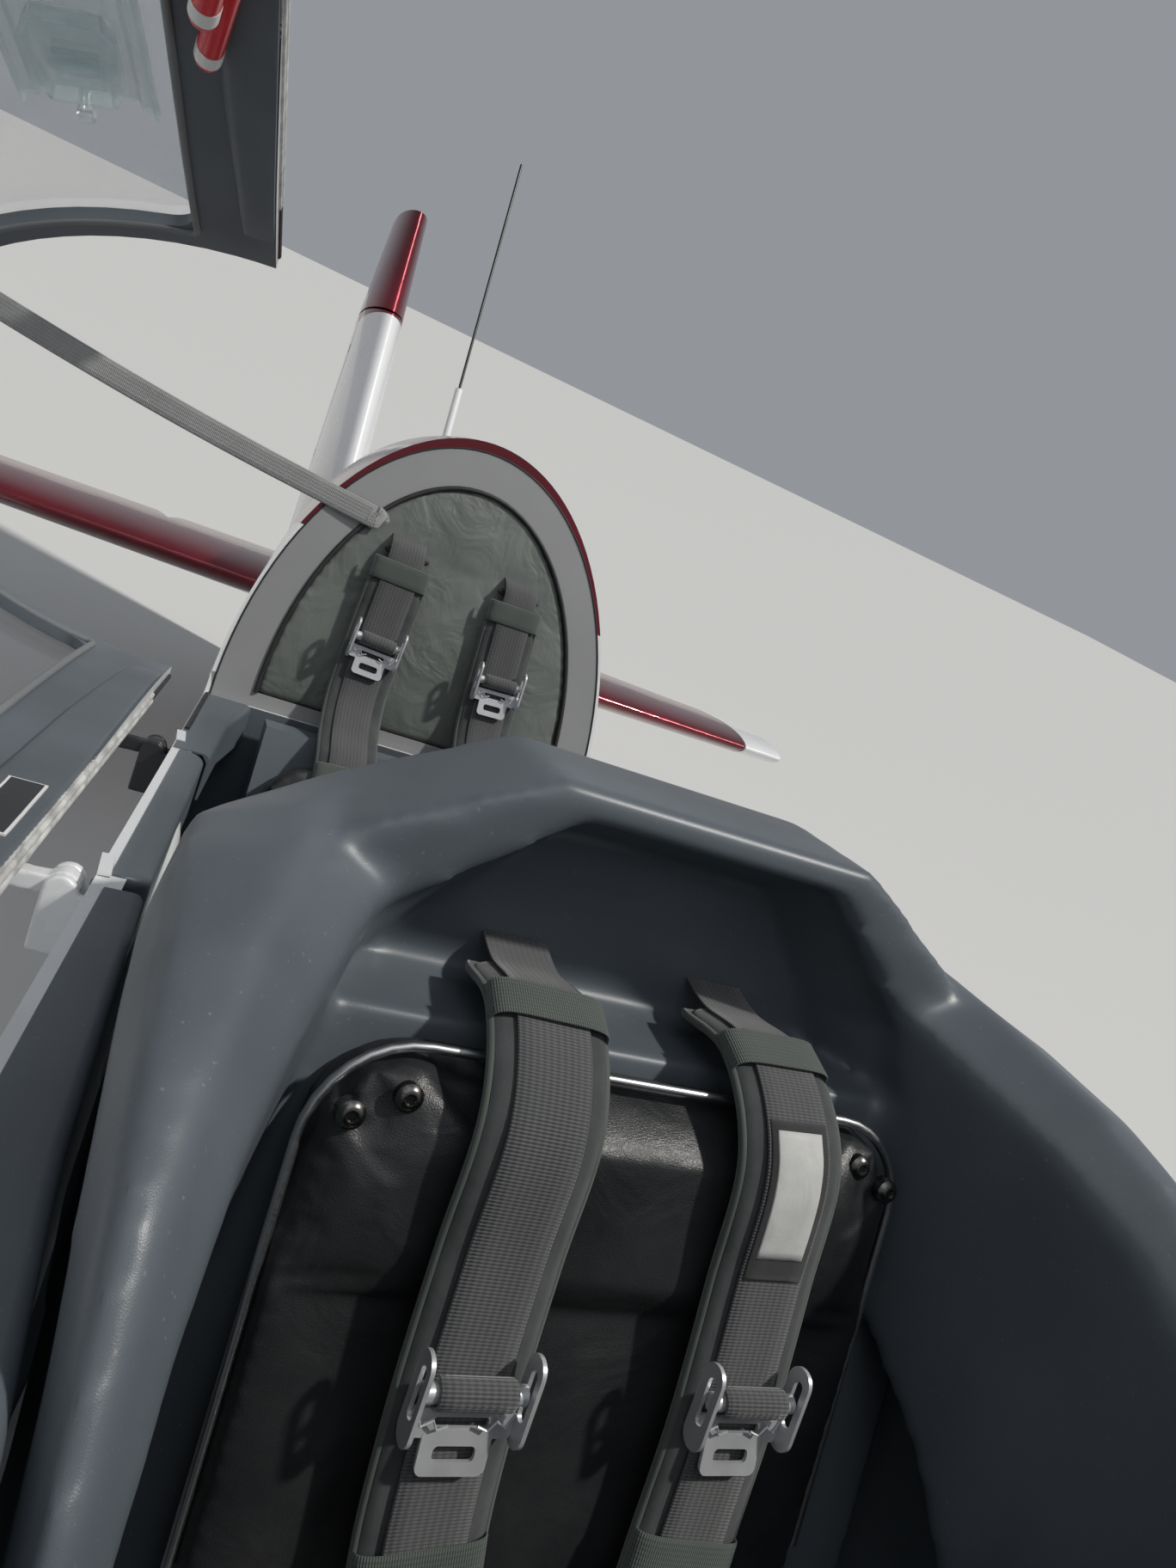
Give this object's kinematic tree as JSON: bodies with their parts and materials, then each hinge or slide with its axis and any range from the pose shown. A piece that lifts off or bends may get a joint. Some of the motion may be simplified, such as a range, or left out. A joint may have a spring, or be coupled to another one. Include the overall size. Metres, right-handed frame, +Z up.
{
  "type": "aerobatic aircraft",
  "caption": "Tandem two-seat low-wing aerobatic monoplane parked on tail-wheel gear, canopy swung open to starboard, with moving propeller, wheels, ailerons, elevator and rudder.",
  "frame": {"origin": "bottom centre of the bounding box, on the ground under the parked aircraft", "axes": "+X to port along the span, +Y aft, +Z up"},
  "size_m": [8, 6.9288, 2.5419],
  "materials": {
    "white_composite": "gloss white paint",
    "engine_metal": "cast",
    "exhaust_steel": "heat stained",
    "spinner_paint": "gloss white paint",
    "blade_composite": "satin",
    "bright_steel": "brushed",
    "interior_grey": "satin",
    "clear_acrylic": "clear",
    "latch_red": "gloss",
    "white_steel": "gloss",
    "grey_leather": "soft",
    "black_leather": "soft",
    "panel_black": "matt",
    "alloy": "satin",
    "harness_webbing": "woven",
    "strap_webbing": "woven",
    "carbon": "matt",
    "tyre_rubber": "matt"
  },
  "bodies": {
    "airframe": {"cowl_upper": "white_composite", "cowl_lower": "white_composite", "engine_block": "engine_metal", "exhaust_pipes": "exhaust_steel", "belly_panel": "white_composite", "side_shell_left": "white_composite", "side_shell_right": "white_composite", "firewall": "bright_steel", "cockpit_floor": "interior_grey", "front_deck": "white_composite", "canopy_hinge_brackets": "white_steel", "turtledeck": "white_composite", "ring_frame": "interior_grey", "rear_headrest": "grey_leather", "rear_fuselage": "white_composite", "horizontal_stabilizer": "white_composite", "fin": "white_composite", "tail_cone": "white_composite", "wing_left": "white_composite", "wing_right": "white_composite", "main_spar": "carbon", "gear_spring": "white_composite", "wheel_fairing_left": "white_composite", "wheel_fairing_right": "white_composite", "tail_spring": "bright_steel", "antenna": "white_composite", "front_seat_shell": "interior_grey", "front_seat_cushions": "black_leather", "rear_seat_shell": "interior_grey", "rear_seat_cushions": "black_leather", "sill_panel_left": "interior_grey", "sill_panel_right": "interior_grey", "front_instrument_panel": "panel_black", "rear_instrument_panel": "panel_black", "control_sticks": "panel_black", "rudder_pedals": "alloy", "front_harness": "harness_webbing", "rear_harness": "harness_webbing", "restraint_strap": "strap_webbing"},
    "propeller": {"spinner": "spinner_paint", "propeller_blades": "blade_composite"},
    "main_wheel_left": {"tyre_left": "tyre_rubber", "rim_left": "alloy"},
    "main_wheel_right": {"tyre_right": "tyre_rubber", "rim_right": "alloy"},
    "tail_swivel": {"tail_fork": "bright_steel"},
    "tail_roller": {"tail_wheel": "tyre_rubber"},
    "canopy": {"canopy_frame": "interior_grey", "canopy_glass": "clear_acrylic", "canopy_hinge_arms": "white_steel", "canopy_latches": "latch_red", "vent_panel": "clear_acrylic"},
    "aileron_left": {"aileron_left": "white_composite"},
    "aileron_right": {"aileron_right": "white_composite"},
    "elevator": {"elevator": "white_composite"},
    "rudder": {"rudder": "white_composite"}
  },
  "joints": [
    {"name": "propeller_spin", "type": "hinge", "parent": "airframe", "child": "propeller", "pos_m": [0, -3.2191, 1.55806], "axis": [0, 0.9813, -0.1925], "continuous": true},
    {"name": "main_wheel_left_spin", "type": "hinge", "parent": "airframe", "child": "main_wheel_left", "pos_m": [0.9, -2.01275, 0.175], "axis": [1, 0, 0], "continuous": true},
    {"name": "main_wheel_right_spin", "type": "hinge", "parent": "airframe", "child": "main_wheel_right", "pos_m": [-0.9, -2.01275, 0.175], "axis": [1, 0, 0], "continuous": true},
    {"name": "tail_wheel_steer", "type": "hinge", "parent": "airframe", "child": "tail_swivel", "pos_m": [0, 2.69519, 0.075], "axis": [0, 0, 1], "range_deg": [-35, 35]},
    {"name": "tail_wheel_spin", "type": "hinge", "parent": "tail_swivel", "child": "tail_roller", "pos_m": [0, 2.75719, 0.075], "axis": [1, 0, 0], "continuous": true},
    {"name": "canopy_hinge", "type": "hinge", "parent": "airframe", "child": "canopy", "pos_m": [-0.405, -0.29539, 1.13743], "axis": [0.102, 0.9762, -0.1915], "range_deg": [0, 93], "deforming": ["restraint_strap"]},
    {"name": "aileron_left_hinge", "type": "hinge", "parent": "airframe", "child": "aileron_left", "pos_m": [0.62, -0.61306, 0.72714], "axis": [0.9943, -0.0969, 0.0455], "range_deg": [-30, 30]},
    {"name": "aileron_right_hinge", "type": "hinge", "parent": "airframe", "child": "aileron_right", "pos_m": [-0.62, -0.61306, 0.72714], "axis": [0.9943, 0.0969, -0.0455], "range_deg": [-30, 30]},
    {"name": "elevator_hinge", "type": "hinge", "parent": "airframe", "child": "elevator", "pos_m": [0, 2.65544, 0.59532], "axis": [1, 0, 0], "range_deg": [-25, 25]},
    {"name": "rudder_hinge", "type": "hinge", "parent": "airframe", "child": "rudder", "pos_m": [0, 2.76684, 0.38392], "axis": [0, 0.1925, 0.9813], "range_deg": [-30, 30]}
  ],
  "couplings": [
    {"joint": "aileron_right_hinge", "follows": "aileron_left_hinge", "ratio": -1}
  ]
}
